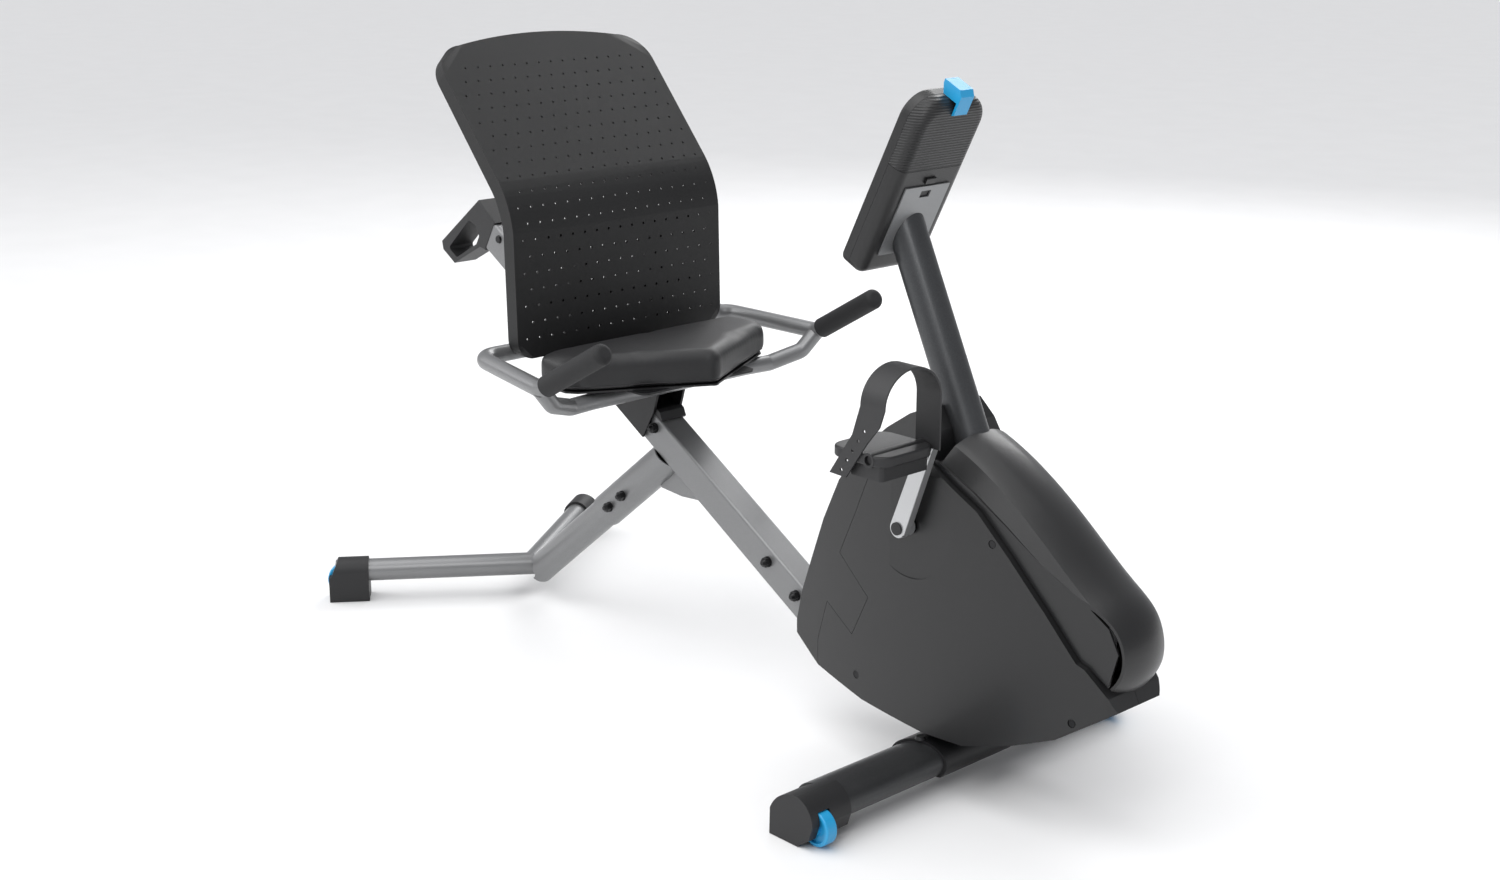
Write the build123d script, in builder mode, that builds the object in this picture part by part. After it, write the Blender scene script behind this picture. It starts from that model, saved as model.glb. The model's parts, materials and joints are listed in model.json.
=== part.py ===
from build123d import *
import os
from math import cos, radians, sin, sqrt

# Recumbent exercise bike, in millimetres.
# +X points forward from the seat to the console, +Y is the rider's left, +Z is up.
# The floor is z = 0, and x = 0, y = 0 is the middle of the footprint.

# ---- seat rail: one rectangular tube that falls forward under the seat
RAIL_TILT = 30.8
RAIL_POINT = (-165.0, 354.4)
RAIL_WIDTH = 44.0
RAIL_HEIGHT = 50.0
RAIL_WALL = 2.5
RAIL_REAR = -483.0
RAIL_FRONT = 436.0
RAIL_BOLT_US = (0.0, 289.0, 358.0)
RAIL_BOLT_N = 6.0
REAR_SCREW_U = -449.0
REAR_SCREW_N = 11.5

# ---- rear leg, arms and their floor caps
LEG_TILT = 38.6
LEG_POINT = (-317.0, 182.0)
LEG_SEAM_U = 15.0
LEG_UPPER_RADIUS = 27.0
LEG_LOWER_RADIUS = 24.0
LEG_LOWER_LENGTH = 222.0
LEG_INSERT = 125.0
LEG_TOP = 250.0
LEG_BOLT_US = (56.0, 97.0)
LEG_BOLT_N = -8.0
TUBE_WALL = 2.0
ARM_SWEEP = 36.0
ARM_APEX_X = -514.0
ARM_HEIGHT = 47.0
ARM_RADIUS = 18.5
ARM_LENGTH = 322.0
REAR_CAP_LENGTH = 64.4
REAR_CAP_WIDTH = 46.0
REAR_CAP_HEIGHT = 70.0
REAR_CAP_END = 333.0

# ---- front stabiliser
STABILIZER_X = 436.0
STABILIZER_Z = 40.0
STABILIZER_HALF_X = 36.0
STABILIZER_HALF_Z = 25.0
FRONT_CAP_OUTER = 311.0
FRONT_CAP_INNER = 242.0
FRONT_CAP_SOLID = 266.0
TRANSPORT_WHEEL_RADIUS = 24.0
TRANSPORT_WHEEL_WIDTH = 18.0
TRANSPORT_WHEEL_X = 463.0
TRANSPORT_WHEEL_Y = 288.0
TRANSPORT_WHEEL_Z = 25.0
WHEEL_PIN_RADIUS = 4.0
PIN_CLEARANCE = 0.05
LEVELING_RADIUS = 27.0
LEVELING_OFFSET = 3.0
LEVELING_WIDTH = 12.0
LEVELING_PIVOT_Z = 30.0
LEVELING_PIVOT_IN = 24.0
SADDLE_WALL = 4.0
SADDLE_HALF = 90.0
SADDLE_BOLT_Y = 75.0

# ---- bolts
BOLT_RADIUS = 4.0
BOLT_HOLE = 4.15

# ---- drive
CRANK_X = 409.0
CRANK_Z = 359.0
CRANK_LENGTH = 130.0
CRANK_LEAN = 20.8
CRANK_OUTER = 100.0
CRANK_THICKNESS = 14.0
CRANK_BOSS_INNER = 79.0
CRANK_BOSS_RADIUS = 13.0
CRANK_EYE_RADIUS = 11.0
AXLE_RADIUS = 8.5
PEDAL_MID = 155.0
PEDAL_HALF_WIDTH = 48.5
PEDAL_LENGTH = 96.0
PEDAL_SETBACK = 22.0
PEDAL_THICKNESS = 14.0
PEDAL_SPINDLE_RADIUS = 6.0
STRAP_WIDTH = 40.0
STRAP_THICKNESS = 2.5
STRAP_FORWARD = 8.0
STRAP_SHOULDER = 67.5
STRAP_TOP = 113.5
FLYWHEEL_X = 590.0
FLYWHEEL_Z = 262.0
FLYWHEEL_RADIUS = 92.0
FLYWHEEL_WIDTH = 16.0
FLYWHEEL_AXLE_RADIUS = 6.0
PLATE_INNER = 25.5
PLATE_THICKNESS = 5.0
SHELL_RADIUS = 20.0
SHELL_HALF = 36.0
CRANK_BEARING_RADIUS = 17.0
FLYWHEEL_BEARING_RADIUS = 14.0
DRIVE_PULLEY_RADIUS = 80.0
FLYWHEEL_PULLEY_RADIUS = 10.0
BELT_Y = 46.0
BELT_WIDTH = 11.4
BELT_THICKNESS = 3.0
BELT_GAP = 0.4

# ---- mast and console
MAST_TILT = 25.3
MAST_POINT = (335.0, 696.2)
MAST_RADIUS = 25.0
MAST_FOOT = -352.0
MAST_BOLT_US = (-338.0, -318.0)
BRACKET_THICKNESS = 2.0
CONSOLE_POINT = (367.0, 804.0)
CONSOLE_TILT = 27.0
CONSOLE_HALF_WIDTH = 61.0
CONSOLE_DEPTH = 40.0
CONSOLE_BOTTOM = -158.0
CONSOLE_TOP = 97.0
CONSOLE_SPLIT = 24.0
CONSOLE_WALL = 3.0

# ---- housing
HOUSING_WALL = 3.0
NOSE_FRONT = 727.0
NOSE_CORNER = 20.0
HOUSING_HALF_WIDTH = 77.14
HOUSING_MIDDLE_X = 441.0
HOUSING_SIDE_RADIUS = 1445.0
HOUSING_GAP = 0.6
COVER_CROWN = 13.0
COVER_RIDGE = 48.0

# ---- seat
CUSHION_BOTTOM = 446.0
CUSHION_TOP = 491.0
BACKREST_HALF_WIDTH = 198.0
BACKREST_RIM = 24.0
BACKREST_WALL = 4.0
HANDLE_TUBE_RADIUS = 12.5
GRIP_RADIUS = 15.5
REAR_BAR = (-299.0, 479.0)
FRONT_BAR = (-148.0, 427.0)
GRIP_START = 14.0
CARRIAGE_INNER = 24.0
CARRIAGE_THICKNESS = 4.0

os.makedirs("parts", exist_ok=True)


def save(builder, label):
    """Label one finished sub-part and write it as a STEP file of that name."""
    builder.part.label = label
    export_step(builder.part, f"parts/{label}.step")


# Working planes. Each one's local x runs along the named piece.
rail_plane = Plane(
    origin=(RAIL_POINT[0], 0, RAIL_POINT[1]),
    x_dir=(cos(radians(RAIL_TILT)), 0, -sin(radians(RAIL_TILT))),
    z_dir=(sin(radians(RAIL_TILT)), 0, cos(radians(RAIL_TILT))),
)
leg_plane = Plane(
    origin=(LEG_POINT[0], 0, LEG_POINT[1]),
    x_dir=(cos(radians(LEG_TILT)), 0, sin(radians(LEG_TILT))),
    z_dir=(-sin(radians(LEG_TILT)), 0, cos(radians(LEG_TILT))),
)
mast_plane = Plane(
    origin=(MAST_POINT[0], 0, MAST_POINT[1]),
    x_dir=(0, 1, 0),
    z_dir=(-sin(radians(MAST_TILT)), 0, cos(radians(MAST_TILT))),
)
# The console's back face: local x is the rider's left, local y is up the face, z points out of its back.
console_plane = Plane(
    origin=(CONSOLE_POINT[0], 0, CONSOLE_POINT[1]),
    x_dir=(0, 1, 0),
    z_dir=(cos(radians(CONSOLE_TILT)), 0, -sin(radians(CONSOLE_TILT))),
)
SIDES = (("right", -1), ("left", 1))


def rail_section(u):
    """A plane square to the rail at distance u along it, local x to the left and local y up."""
    origin = rail_plane.from_local_coords((u, 0, 0))
    return Plane(origin=origin, x_dir=(0, 1, 0), z_dir=rail_plane.x_dir)


def leg_section(u):
    origin = leg_plane.from_local_coords((u, 0, 0))
    return Plane(origin=origin, x_dir=(0, 1, 0), z_dir=leg_plane.x_dir)


def rail_side(y):
    """A plane along the rail's side at y, local x along the rail and local y square to it."""
    origin = rail_plane.from_local_coords((0, y, 0))
    return Plane(origin=origin, x_dir=rail_plane.x_dir, z_dir=(0, -1, 0))


def side_plane(y):
    """The plane at y seen from the rider's right: local x forward, local y up, z to the right."""
    return Plane(origin=(0, y, 0), x_dir=(1, 0, 0), z_dir=(0, -1, 0))


def cross_plane(x):
    """The plane at x seen from the front: local x to the left, local y up."""
    return Plane(origin=(x, 0, 0), x_dir=(0, 1, 0), z_dir=(1, 0, 0))


def across(point, reach):
    """A plane facing the rider's right, a distance reach from the middle of the bike."""
    return Plane(origin=(point.X, -reach, point.Z), x_dir=(1, 0, 0), z_dir=(0, -1, 0))


def disc(plane, radius):
    with BuildSketch(plane) as circle:
        Circle(radius)
    return circle.sketch


def cross_bolt(point, reach):
    """A bolt across a tube: washer and domed nut on the rider's right, round head on the left."""
    with BuildSketch(across(point, reach + 1.6)) as nut:
        RegularPolygon(6.5, 6, major_radius=False)
    extrude(nut.sketch, amount=6.5)
    extrude(disc(across(point, reach), BOLT_RADIUS), amount=-2 * reach)
    extrude(disc(across(point, reach), 8.0), amount=1.6)
    extrude(disc(across(point, reach + 8.1), 5.5), amount=4.5, taper=28)
    extrude(disc(across(point, -reach), 7.5), amount=-4.0, taper=25)


def drill(point, reach):
    """The clearance hole for a cross bolt, straight through the part being built."""
    extrude(disc(across(point, reach + 40), BOLT_HOLE), amount=-2 * (reach + 40), mode=Mode.SUBTRACT)


def drum(x, z, radius, y_from, y_to, mode=Mode.ADD):
    """A round bar across the bike, centred on x and z, between two distances to the left."""
    end = Plane(origin=(x, y_from, z), x_dir=(1, 0, 0), z_dir=(0, -1, 0))
    extrude(disc(end, radius), amount=y_from - y_to, mode=mode)


rail_points = [rail_plane.from_local_coords(Vector(u, 0, RAIL_BOLT_N)) for u in RAIL_BOLT_US]
leg_points = [leg_plane.from_local_coords(Vector(u, 0, LEG_BOLT_N)) for u in LEG_BOLT_US]
mast_points = [mast_plane.from_local_coords(Vector(0, 0, u)) for u in MAST_BOLT_US]
rear_screw_point = rail_plane.from_local_coords(Vector(REAR_SCREW_U, 0, REAR_SCREW_N))

# ------------------------------------------------------------------ frame
with BuildPart() as seat_rail:
    with BuildSketch(rail_section(RAIL_REAR)):
        RectangleRounded(RAIL_WIDTH, RAIL_HEIGHT, 4.0)
        RectangleRounded(RAIL_WIDTH - 2 * RAIL_WALL, RAIL_HEIGHT - 2 * RAIL_WALL, 2.0, mode=Mode.SUBTRACT)
    extrude(amount=RAIL_FRONT - RAIL_REAR)
    for point in (*rail_points, rear_screw_point):
        drill(point, RAIL_WIDTH / 2)
save(seat_rail, "seat_rail")

with BuildPart() as rear_leg_upper:
    with BuildSketch(leg_section(LEG_SEAM_U)):
        Circle(LEG_UPPER_RADIUS)
    extrude(amount=LEG_TOP)
    # gusset plate in the fork between rail and leg
    with BuildSketch(rail_side(3.0)):
        with BuildLine():
            Polyline(
                (35, -RAIL_HEIGHT / 2),
                (140, -RAIL_HEIGHT / 2),
                (86, -63),
                (44, -84),
                (20, -78),
                close=True,
            )
        make_face()
    extrude(amount=6.0)
    with BuildSketch(leg_section(-1)):
        Circle(LEG_UPPER_RADIUS - TUBE_WALL)
    extrude(amount=LEG_TOP + 20, mode=Mode.SUBTRACT)
    # coped to the rail's underside, with nothing left above it
    with BuildSketch(rail_section(RAIL_REAR)):
        with Locations((0, 300 - RAIL_HEIGHT / 2)):
            Rectangle(200, 600)
    extrude(amount=RAIL_FRONT - RAIL_REAR, mode=Mode.SUBTRACT)
    for point in leg_points:
        drill(point, LEG_UPPER_RADIUS)
save(rear_leg_upper, "rear_leg_upper")


def arm_plane(side):
    """Upright plane along one rear arm: origin at the arms' meeting point, local x outwards."""
    sweep = radians(ARM_SWEEP)
    return Plane(
        origin=(ARM_APEX_X, 0, ARM_HEIGHT),
        x_dir=(-sin(sweep), side * cos(sweep), 0),
        z_dir=(0, 0, 1),
    )


def arm_section(side, distance):
    plane = arm_plane(side)
    origin = plane.from_local_coords((distance, 0, 0))
    return Plane(origin=origin, x_dir=plane.y_dir, z_dir=plane.x_dir)


def cap_side_plane(side):
    """Upright plane along a rear cap's middle: local x inwards from its outer end, local y up."""
    outward = arm_plane(side)
    inward = -outward.x_dir
    return Plane(
        origin=outward.from_local_coords((REAR_CAP_END, 0, -ARM_HEIGHT)),
        x_dir=inward,
        z_dir=inward.cross(Vector(0, 0, 1)),
    )


def cut_wheel_slot(side):
    """Cut the levelling wheel's slot and its pin's hole out of the part being built."""
    with BuildSketch(cap_side_plane(side)) as slot:
        with Locations((LEVELING_PIVOT_IN, LEVELING_PIVOT_Z)):
            Circle(LEVELING_RADIUS + LEVELING_OFFSET + 1.0)
    extrude(slot.sketch, amount=LEVELING_WIDTH / 2 + 0.6, both=True, mode=Mode.SUBTRACT)
    with BuildSketch(cap_side_plane(side)) as pin_hole:
        with Locations((LEVELING_PIVOT_IN, LEVELING_PIVOT_Z)):
            Circle(WHEEL_PIN_RADIUS + 0.02)
    extrude(pin_hole.sketch, amount=REAR_CAP_WIDTH / 2 - 3, both=True, mode=Mode.SUBTRACT)


with BuildPart() as rear_leg_lower:
    with BuildSketch(leg_section(-LEG_LOWER_LENGTH)):
        Circle(LEG_LOWER_RADIUS)
    extrude(amount=LEG_LOWER_LENGTH + LEG_INSERT)
    with BuildSketch(leg_section(-LEG_LOWER_LENGTH - 1)):
        Circle(LEG_LOWER_RADIUS - TUBE_WALL)
    extrude(amount=LEG_LOWER_LENGTH + LEG_INSERT + 2, mode=Mode.SUBTRACT)
    # coped over the two arms and open behind them
    for _, side in SIDES:
        with BuildSketch(arm_section(side, -40)):
            Circle(ARM_RADIUS)
        extrude(amount=160, mode=Mode.SUBTRACT)
        reach = arm_plane(side).from_local_coords((120, 0, 0))
        with BuildSketch(Plane.XY.offset(-30)):
            with BuildLine():
                Polyline((ARM_APEX_X, 0), (reach.X, reach.Y), (ARM_APEX_X - 120, 0), close=True)
            make_face()
        extrude(amount=200, mode=Mode.SUBTRACT)
    for point in leg_points:
        drill(point, LEG_UPPER_RADIUS)
save(rear_leg_lower, "rear_leg_lower")

for name, side in SIDES:
    with BuildPart() as rear_arm:
        with BuildSketch(arm_section(side, -30)):
            Circle(ARM_RADIUS)
            Circle(ARM_RADIUS - TUBE_WALL, mode=Mode.SUBTRACT)
        extrude(amount=ARM_LENGTH + 30)
        with BuildSketch(side_plane(0)):
            Rectangle(1600, 400)
        extrude(amount=60 * side, mode=Mode.SUBTRACT)
        cut_wheel_slot(side)
    save(rear_arm, f"rear_arm_{name}")

    # floor cap: an arched block with a sloped outer shoulder, bored for the arm and slotted for its wheel
    with BuildPart() as rear_cap:
        with BuildSketch(arm_section(side, REAR_CAP_END)):
            with Locations((0, REAR_CAP_HEIGHT / 2 - REAR_CAP_WIDTH / 4 - ARM_HEIGHT)):
                Rectangle(REAR_CAP_WIDTH, REAR_CAP_HEIGHT - REAR_CAP_WIDTH / 2)
            with Locations((0, REAR_CAP_HEIGHT - REAR_CAP_WIDTH / 2 - ARM_HEIGHT)):
                Circle(REAR_CAP_WIDTH / 2)
        extrude(amount=-REAR_CAP_LENGTH)
        with BuildSketch(cap_side_plane(side)):
            with BuildLine():
                Polyline(
                    (-1, 41.9),
                    (3.7, 41.9),
                    (16, REAR_CAP_HEIGHT + 1),
                    (-1, REAR_CAP_HEIGHT + 1),
                    close=True,
                )
            make_face()
        extrude(amount=REAR_CAP_WIDTH, both=True, mode=Mode.SUBTRACT)
        with BuildSketch(arm_section(side, REAR_CAP_END - REAR_CAP_LENGTH - 1)):
            Circle(ARM_RADIUS + 0.1)
        extrude(amount=ARM_LENGTH - REAR_CAP_END + REAR_CAP_LENGTH + 1.5, mode=Mode.SUBTRACT)
        cut_wheel_slot(side)
    save(rear_cap, f"rear_cap_{name}")

    with BuildPart() as leveling_wheel:
        with BuildSketch(cap_side_plane(side)):
            with Locations((LEVELING_PIVOT_IN, LEVELING_PIVOT_Z + LEVELING_OFFSET)):
                Circle(LEVELING_RADIUS)
            with Locations((LEVELING_PIVOT_IN, LEVELING_PIVOT_Z)):
                Circle(WHEEL_PIN_RADIUS + PIN_CLEARANCE, mode=Mode.SUBTRACT)
        extrude(amount=LEVELING_WIDTH / 2, both=True)
        fillet(leveling_wheel.edges().filter_by(GeomType.CIRCLE).sort_by(SortBy.RADIUS)[-2:], 2.0)
    save(leveling_wheel, f"leveling_wheel_{name}")

# grab handle plugged into the rail's upper end
with BuildPart() as carry_handle:
    with BuildSketch(rail_side(0)):
        with BuildLine():
            Polyline(
                (-470, 28),
                (-524, 33),
                (-576, -92),
                (-566, -103),
                (-530, -103),
                (-486, -34),
                (-470, -28),
                close=True,
            )
        make_face()
    extrude(amount=23.0, both=True)
    fillet(carry_handle.edges().group_by(Axis.Y)[0], 2.5)
    fillet(carry_handle.edges().group_by(Axis.Y)[-1], 2.5)
    with BuildSketch(rail_side(0)) as finger_hole:
        with BuildLine():
            Polyline((-554, -89), (-529, -12), (-510, -8), (-494, -17), (-494, -34), (-528, -89), close=True)
        make_face()
        fillet(finger_hole.vertices(), 5.0)
    extrude(amount=30.0, both=True, mode=Mode.SUBTRACT)
    with BuildSketch(rail_section(RAIL_REAR)):
        RectangleRounded(RAIL_WIDTH + 0.2, RAIL_HEIGHT + 0.2, 4.0)
    extrude(amount=60, mode=Mode.SUBTRACT)
    with BuildSketch(rail_section(RAIL_REAR - 1)):
        RectangleRounded(RAIL_WIDTH - 2 * RAIL_WALL - 0.4, RAIL_HEIGHT - 2 * RAIL_WALL - 0.4, 2.0)
    extrude(amount=50)
    drill(rear_screw_point, RAIL_WIDTH / 2)
save(carry_handle, "carry_handle")

# ------------------------------------------------------------------ front stabiliser
with BuildPart() as front_stabilizer:
    with BuildSketch(side_plane(0)):
        with Locations((STABILIZER_X, STABILIZER_Z)):
            Ellipse(STABILIZER_HALF_X, STABILIZER_HALF_Z)
            Ellipse(STABILIZER_HALF_X - TUBE_WALL, STABILIZER_HALF_Z - TUBE_WALL, mode=Mode.SUBTRACT)
    extrude(amount=FRONT_CAP_SOLID - 1, both=True)
    with BuildSketch(Plane.XY.offset(STABILIZER_Z)):
        with Locations((STABILIZER_X, -SADDLE_BOLT_Y), (STABILIZER_X, SADDLE_BOLT_Y)):
            Circle(BOLT_HOLE)
    extrude(amount=60, mode=Mode.SUBTRACT)
save(front_stabilizer, "front_stabilizer")

for name, side in SIDES:
    with BuildPart() as front_cap:
        with BuildSketch(side_plane(side * FRONT_CAP_INNER)):
            with BuildLine():
                Line((397, 0), (398, 36))
                ThreePointArc((398, 36), (419, 60), (446, 67.5))
                ThreePointArc((446, 67.5), (467, 55), (474, 33))
                Polyline((474, 33), (467, 14), (447, 0), (397, 0))
            make_face()
        extrude(amount=-side * (FRONT_CAP_OUTER - FRONT_CAP_INNER))
        with BuildSketch(side_plane(side * (FRONT_CAP_INNER - 1))):
            with Locations((STABILIZER_X, STABILIZER_Z)):
                Ellipse(STABILIZER_HALF_X + 0.1, STABILIZER_HALF_Z + 0.1)
        extrude(amount=-side * (FRONT_CAP_SOLID - FRONT_CAP_INNER + 1), mode=Mode.SUBTRACT)
        wheel_inner = TRANSPORT_WHEEL_Y - TRANSPORT_WHEEL_WIDTH / 2 - 1
        wheel_outer = TRANSPORT_WHEEL_Y + TRANSPORT_WHEEL_WIDTH / 2 + 1
        pocket = TRANSPORT_WHEEL_RADIUS + 2
        pocket_from = side * wheel_inner
        pocket_to = side * wheel_outer
        drum(TRANSPORT_WHEEL_X, TRANSPORT_WHEEL_Z, pocket, pocket_from, pocket_to, Mode.SUBTRACT)
        pin_from = side * (TRANSPORT_WHEEL_Y - 16)
        pin_to = side * (TRANSPORT_WHEEL_Y + 16)
        drum(TRANSPORT_WHEEL_X, TRANSPORT_WHEEL_Z, WHEEL_PIN_RADIUS + 0.02, pin_from, pin_to, Mode.SUBTRACT)
    save(front_cap, f"front_cap_{name}")

    with BuildPart() as transport_wheel:
        with BuildSketch(side_plane(side * TRANSPORT_WHEEL_Y)):
            with Locations((TRANSPORT_WHEEL_X, TRANSPORT_WHEEL_Z)):
                Circle(TRANSPORT_WHEEL_RADIUS)
                Circle(WHEEL_PIN_RADIUS + PIN_CLEARANCE, mode=Mode.SUBTRACT)
        extrude(amount=TRANSPORT_WHEEL_WIDTH / 2, both=True)
        fillet(transport_wheel.edges().filter_by(GeomType.CIRCLE).sort_by(SortBy.RADIUS)[-2:], 2.5)
        # dished faces between hub and tread
        for face in (-1, 1):
            with BuildSketch(side_plane(side * TRANSPORT_WHEEL_Y + face * TRANSPORT_WHEEL_WIDTH / 2)):
                with Locations((TRANSPORT_WHEEL_X, TRANSPORT_WHEEL_Z)):
                    Circle(TRANSPORT_WHEEL_RADIUS - 5)
                    Circle(8.5, mode=Mode.SUBTRACT)
            extrude(amount=face * 4.0, mode=Mode.SUBTRACT)
    save(transport_wheel, f"transport_wheel_{name}")

with BuildPart() as wheel_pins:
    for _, side in SIDES:
        near = side * (TRANSPORT_WHEEL_Y - 15)
        far = side * (TRANSPORT_WHEEL_Y + 15)
        drum(TRANSPORT_WHEEL_X, TRANSPORT_WHEEL_Z, WHEEL_PIN_RADIUS, near, far)
        with BuildSketch(cap_side_plane(side)):
            with Locations((LEVELING_PIVOT_IN, LEVELING_PIVOT_Z)):
                Circle(WHEEL_PIN_RADIUS)
        extrude(amount=REAR_CAP_WIDTH / 2 - 4, both=True)
save(wheel_pins, "wheel_pins")

# ------------------------------------------------------------------ inner frame
with BuildPart() as drive_frame:
    for _, side in SIDES:
        with BuildSketch(side_plane(side * PLATE_INNER)):
            with BuildLine():
                Polyline(
                    (198, 148),
                    (204, 174),
                    (250, 215),
                    (355, 330),
                    (380, 400),
                    (428, 446),
                    (512, 412),
                    (522, 350),
                    (612, 292),
                    (618, 246),
                    (590, 226),
                    (500, 226),
                    (478, 150),
                    (484, 62),
                    (410, 62),
                    (400, 98),
                    (262, 116),
                    close=True,
                )
            make_face()
        extrude(amount=-side * PLATE_THICKNESS)
        # pad between plate and rail end
        with BuildSketch(rail_side(side * (RAIL_WIDTH / 2 + 0.1))):
            with Locations(((RAIL_FRONT + 412) / 2, 7)):
                Rectangle(RAIL_FRONT - 412, 18)
        extrude(amount=-side * (PLATE_INNER - RAIL_WIDTH / 2 + 0.4))
    drum(CRANK_X, CRANK_Z, SHELL_RADIUS, -SHELL_HALF, SHELL_HALF)
    # cross tubes that space the two plates
    for x, z in ((300, 160), (440, 130), (470, 250)):
        drum(x, z, 11.0, -PLATE_INNER - 1, PLATE_INNER + 1)
    # saddle over the stabiliser tube
    with BuildSketch(side_plane(0)):
        with Locations((STABILIZER_X, STABILIZER_Z)):
            Ellipse(STABILIZER_HALF_X + SADDLE_WALL, STABILIZER_HALF_Z + SADDLE_WALL)
    extrude(amount=SADDLE_HALF, both=True)
    with BuildSketch(side_plane(0)):
        with Locations((STABILIZER_X, STABILIZER_Z)):
            Ellipse(STABILIZER_HALF_X + 0.1, STABILIZER_HALF_Z + 0.1)
    extrude(amount=SADDLE_HALF + 10, both=True, mode=Mode.SUBTRACT)
    with BuildSketch(Plane.XY.offset(STABILIZER_Z - 18)):
        with Locations((STABILIZER_X, 0)):
            Rectangle(120, 220)
    extrude(amount=-40, mode=Mode.SUBTRACT)
    # its ends are cut back towards the front
    for _, side in SIDES:
        with BuildSketch(Plane.XY):
            with BuildLine():
                Polyline(
                    (STABILIZER_X - 45, side * (SADDLE_HALF + 1)),
                    (STABILIZER_X + 45, side * (SADDLE_HALF + 1)),
                    (STABILIZER_X + 45, side * (SADDLE_HALF - 24)),
                    close=True,
                )
            make_face()
        extrude(amount=90, mode=Mode.SUBTRACT)
    drum(CRANK_X, CRANK_Z, CRANK_BEARING_RADIUS, -SHELL_HALF - 1, SHELL_HALF + 1, Mode.SUBTRACT)
    drum(FLYWHEEL_X, FLYWHEEL_Z, FLYWHEEL_BEARING_RADIUS, -SHELL_HALF, SHELL_HALF, Mode.SUBTRACT)
    for point in mast_points:
        drill(point, PLATE_INNER)
    with BuildSketch(Plane.XY.offset(STABILIZER_Z)):
        with Locations((STABILIZER_X, -SADDLE_BOLT_Y), (STABILIZER_X, SADDLE_BOLT_Y)):
            Circle(BOLT_HOLE)
    extrude(amount=60, mode=Mode.SUBTRACT)
save(drive_frame, "drive_frame")

with BuildPart() as mast:
    with BuildSketch(mast_plane.offset(MAST_FOOT)):
        Circle(MAST_RADIUS)
        Circle(MAST_RADIUS - TUBE_WALL, mode=Mode.SUBTRACT)
    extrude(amount=360 - MAST_FOOT)
    # cut off flush with the console bracket
    with BuildSketch(console_plane.offset(BRACKET_THICKNESS + 0.4)):
        Rectangle(300, 900)
    extrude(amount=-400, mode=Mode.SUBTRACT)
    for point in mast_points:
        drill(point, MAST_RADIUS)
save(mast, "mast")

with BuildPart() as frame_bolts:
    for point in rail_points:
        cross_bolt(point, RAIL_WIDTH / 2)
    for point in leg_points:
        cross_bolt(point, LEG_UPPER_RADIUS)
    for point in mast_points:
        cross_bolt(point, PLATE_INNER + PLATE_THICKNESS)
    # saddle bolts, from above
    saddle_top = STABILIZER_Z + STABILIZER_HALF_Z + SADDLE_WALL
    for bolt_y in (-SADDLE_BOLT_Y, SADDLE_BOLT_Y):
        with BuildSketch(Plane.XY.offset(saddle_top - 14)):
            with Locations((STABILIZER_X, bolt_y)):
                Circle(BOLT_RADIUS)
        extrude(amount=14)
        with BuildSketch(Plane.XY.offset(saddle_top)):
            with Locations((STABILIZER_X, bolt_y)):
                Circle(7.5)
        extrude(amount=4.0, taper=25)
    # the carry handle's screw
    with BuildSketch(across(rear_screw_point, RAIL_WIDTH / 2)):
        Circle(BOLT_RADIUS)
    extrude(amount=-30)
    with BuildSketch(across(rear_screw_point, RAIL_WIDTH / 2)):
        Circle(7.0)
    extrude(amount=3.0, taper=25)
save(frame_bolts, "frame_bolts")

with BuildPart() as bearings:
    for _, side in SIDES:
        crank_ring = (side * (SHELL_HALF - 12), side * SHELL_HALF)
        wheel_ring = (side * PLATE_INNER, side * (PLATE_INNER + PLATE_THICKNESS))
        drum(CRANK_X, CRANK_Z, CRANK_BEARING_RADIUS - 0.02, *crank_ring)
        drum(CRANK_X, CRANK_Z, AXLE_RADIUS + 0.03, *crank_ring, Mode.SUBTRACT)
        drum(FLYWHEEL_X, FLYWHEEL_Z, FLYWHEEL_BEARING_RADIUS - 0.02, *wheel_ring)
        drum(FLYWHEEL_X, FLYWHEEL_Z, FLYWHEEL_AXLE_RADIUS + 0.03, *wheel_ring, Mode.SUBTRACT)
save(bearings, "bearings")

with BuildPart() as flywheel:
    drum(FLYWHEEL_X, FLYWHEEL_Z, FLYWHEEL_RADIUS, -FLYWHEEL_WIDTH / 2, FLYWHEEL_WIDTH / 2)
    for face in (-1, 1):
        with BuildSketch(side_plane(face * FLYWHEEL_WIDTH / 2)):
            with Locations((FLYWHEEL_X, FLYWHEEL_Z)):
                Circle(FLYWHEEL_RADIUS - 16)
                Circle(24.0, mode=Mode.SUBTRACT)
        extrude(amount=face * 5.0, mode=Mode.SUBTRACT)
    drum(FLYWHEEL_X, FLYWHEEL_Z, 20.0, -18, 18)
    drum(FLYWHEEL_X, FLYWHEEL_Z, FLYWHEEL_AXLE_RADIUS, -33, 55)
    drum(FLYWHEEL_X, FLYWHEEL_Z, FLYWHEEL_PULLEY_RADIUS, BELT_Y - 8, BELT_Y + 8)
    for flange in (BELT_Y - 8, BELT_Y + 6):
        drum(FLYWHEEL_X, FLYWHEEL_Z, FLYWHEEL_PULLEY_RADIUS + 5, flange, flange + 2)
save(flywheel, "flywheel")


def belt_outline(grow):
    """The line a belt takes round both pulleys, grown by a distance off their faces."""
    with BuildSketch(side_plane(BELT_Y - BELT_WIDTH / 2)) as outline:
        with Locations((CRANK_X, CRANK_Z)):
            Circle(DRIVE_PULLEY_RADIUS + grow)
        with Locations((FLYWHEEL_X, FLYWHEEL_Z)):
            Circle(FLYWHEEL_PULLEY_RADIUS + grow)
        make_hull()
    return outline.sketch


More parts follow.
